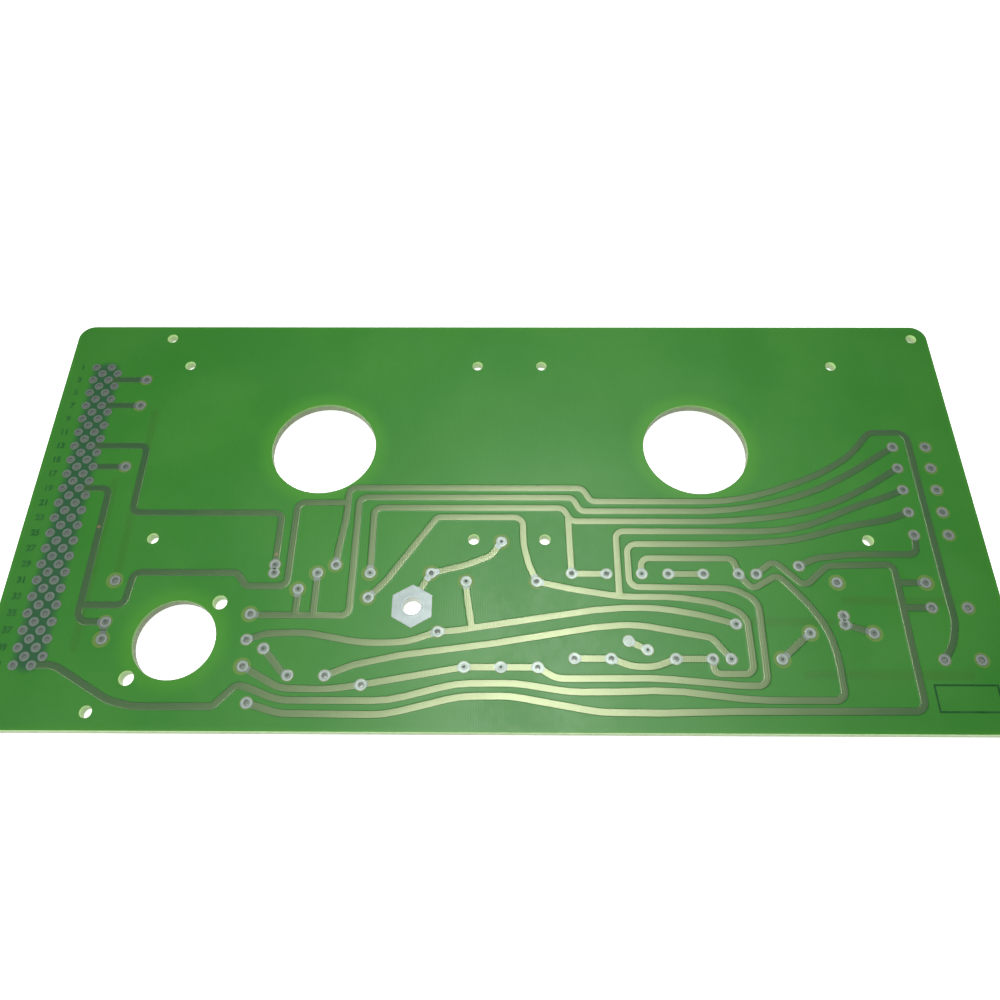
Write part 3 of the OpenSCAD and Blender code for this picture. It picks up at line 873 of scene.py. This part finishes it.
def coat(name, runs):
    """The resist hump over each run of a net, opened at the lands, as one piece."""
    parts = []
    for k, run in enumerate(runs):
        line = centre_line(run)
        lift = RUN_STEP * k
        part = swept(name, line, hump(TOP + lift, 1, TOP - SINK + lift))
        near = [(c, r) for c, r in LAND_ROUNDS + PIN_ROUNDS
                if gap_to(line, c) < r + TRACK_W / 2 + HUMP_SKIRT]
        near_stud = min((at(STUD) - q).length for q in line) < STUD_REACH
        parts.append(open_up(part, near, near_stud))
    made = parts[0]
    for other in parts[1:]:
        boolean(made, other, "UNION")
    made.name = made.data.name = name
    return made


def back_coat(name, run):
    """The low resist hump over a run on the back, opened at its two lands."""
    line = centre_line(run)
    near = [(c, r) for c, r in BACK_ROUNDS
            if min((c - end).length for end in (line[0], line[-1])) < r]
    return open_up(swept(name, line, hump(BACK_RESIST_Z, BACK_RISE, BACK_FOOT_Z)), near)


for net, (runs, _) in NETS.items():
    if runs:
        piece = dress(coat("coat_" + net, runs), RESIST, smooth=35)
        two_tone(piece, COATED, low=CREST_Z)

for net, run in BACK_RUNS.items():
    piece = dress(back_coat("back_coat_" + net, run), RESIST, smooth=35)
    two_tone(piece, COATED, high=BACK_CREST_Z)


# ---- Tin on the lands ------------------------------------------------------------
RIM_GAP = 0.04                                   # the swell stays this far inside its land
LAND_SWELL, PIN_SWELL = 1.5, 1.2                 # width of both sides of the ring of tin
STUD_SWELL = (7.2, 5.5)                          # outer and inner diameter on the stud land
SWELL_H = 0.03                                   # half the height of the ring of tin


def tin_ring(c, outer, hole):
    """Solder swell on a land: a ring, low at its rim and at the hole."""
    mid, half = (outer + hole) / 4, (outer - hole) / 4
    bpy.ops.mesh.primitive_torus_add(location=(c.x * MM, c.y * MM, (LAND_TOP - SINK) * MM),
                                     major_radius=mid * MM, minor_radius=half * MM,
                                     major_segments=24, minor_segments=6)
    ring = bpy.context.view_layer.objects.active
    ring.scale.z = SWELL_H / half
    return settle(ring)


rings = [tin_ring(at(p), LAND_D - RIM_GAP, LAND_D - LAND_SWELL) for p in LANDS]
rings.append(tin_ring(at(FILLED_LAND), outer=LAND_D - 1.4, hole=0))
dress(join("land_tin", rings), TIN, smooth=60)
dress(join("stud_rim", [tin_ring(at(STUD), *STUD_SWELL)]), STUD_TIN, smooth=60)
rings = [tin_ring(at(p), PIN_D - RIM_GAP, PIN_D - PIN_SWELL) for p in PINS]
dress(join("connector_tin", rings), PIN_TIN, smooth=60)

NODE_FINISHES = {"laminate": LAMINATE, "hex_stud_net": STUD_TIN, "marking_frame": LINES}
for name, node in frame["nodes"].items():
    node.data.materials.clear()
    node.data.materials.append(NODE_FINISHES.get(name, LAND_TIN))


# ---- Row numbers -----------------------------------------------------------------
FIGURE_COL = -1.75                               # the column of figures, left of the pins
FIGURE_SIZE = 2.7
FIGURE_RISE, FIGURE_WEIGHT = 0.012, 0.13         # half thickness, and growth of the strokes


def figure(text, place):
    """A number, raised on the resist at a grid place."""
    data = bpy.data.curves.new("figure", "FONT")
    data.body = text
    data.size = FIGURE_SIZE * MM
    data.align_x = "CENTER"
    data.align_y = "CENTER"
    data.extrude = FIGURE_RISE * MM
    data.offset = FIGURE_WEIGHT * MM
    data.resolution_u = 3
    obj = placed("figure", data)
    obj.location = spot(place)
    obj.location.z = (RESIST_Z + 0.01) * MM
    return as_mesh(obj)


figures = [figure(str(2 * k + 1), (FIGURE_COL, 2 * k)) for k in range(21)]
dress(join("row_numbers", figures), FIGURES)


# ---- Camera, light and floor --------------------------------------------------------
CAMERA_AT = Vector((2.307, -121.616, 232.957)) * MM
RIGHT = Vector((0.99996057, 0.00612762, -0.00642678))
DOWN = Vector((0.00236174, -0.88120958, -0.47271989))
FORWARD = Vector((-0.00855999, 0.47268608, -0.88118931))
SENSOR = 36                                      # width, mm
FOCAL_LENGTH = 0.86014 * SENSOR
ROOM_LIGHT = 0.04
FLOOR_Z = -0.0012                                # metres, a little below the back

camera_data = bpy.data.cameras.new("camera")
camera_data.sensor_width = SENSOR
camera_data.lens = FOCAL_LENGTH
camera_data.clip_start = 0.01
camera = placed("camera", camera_data)
camera.matrix_world = Matrix.Translation(CAMERA_AT) @ \
    Matrix((RIGHT, -DOWN, -FORWARD)).transposed().to_4x4()
bpy.context.scene.camera = camera
bpy.context.scene.view_settings.view_transform = "Standard"


def lamp(name, place, size, power, turn=0.0, tilt=0.0):
    """A rectangular soft lamp, its sides in metres; untilted it faces straight down."""
    data = bpy.data.lights.new(name, "AREA")
    data.shape = "RECTANGLE"
    data.size, data.size_y = size
    data.energy = power
    obj = placed(name, data)
    obj.location = place
    obj.rotation_euler = (0, math.radians(tilt), math.radians(turn))


lamp("lamp_overhead", (0.019, 0.014, 0.35), (0.04, 0.31), power=1.08, turn=-9)
lamp("lamp_front_left", (-0.5, -0.25, 0.35), (0.3, 0.3), power=1.15, turn=26.6, tilt=-58)


def background_rays(tree):
    """1 for the rays that see a white background: camera, glossy and transmission rays."""
    path = put(tree, "ShaderNodeLightPath")
    return highest(tree, [path[kind + " Ray"]
                          for kind in ("Is Camera", "Is Glossy", "Is Transmission")])


world = bpy.data.worlds.new("soft_white")
bpy.context.scene.world = world
world.use_nodes = True
tree = world.node_tree
# A white wall stands round the table up to about 15 degrees; above it the room is dim.
rise = axes(tree, put(tree, "ShaderNodeTexCoord")["Generated"])[2]
wall = calc(tree, "MULTIPLY", ramp(tree, rise, 0.25, 0.33, 1.0, 0.0), background_rays(tree))
feed(tree, tree.nodes["Background"], {
    "Color": (1, 1, 1, 1), "Strength": ramp(tree, wall, 0, 1, ROOM_LIGHT, 1.0, smooth=False)})

bpy.ops.mesh.primitive_plane_add(size=4, location=(0, 0, FLOOR_Z))
floor = bpy.context.view_layer.objects.active
floor.name = "floor"
paper = bpy.data.materials.new("white_paper")
paper.use_nodes = True
tree = paper.node_tree
feed(tree, tree.nodes["Principled BSDF"], {
    "Base Color": (0.9, 0.9, 0.9, 1), "Roughness": 0.9, "Emission Color": (1, 1, 1, 1),
    "Emission Strength": calc(tree, "MULTIPLY", background_rays(tree), 0.95)})
floor.data.materials.append(paper)
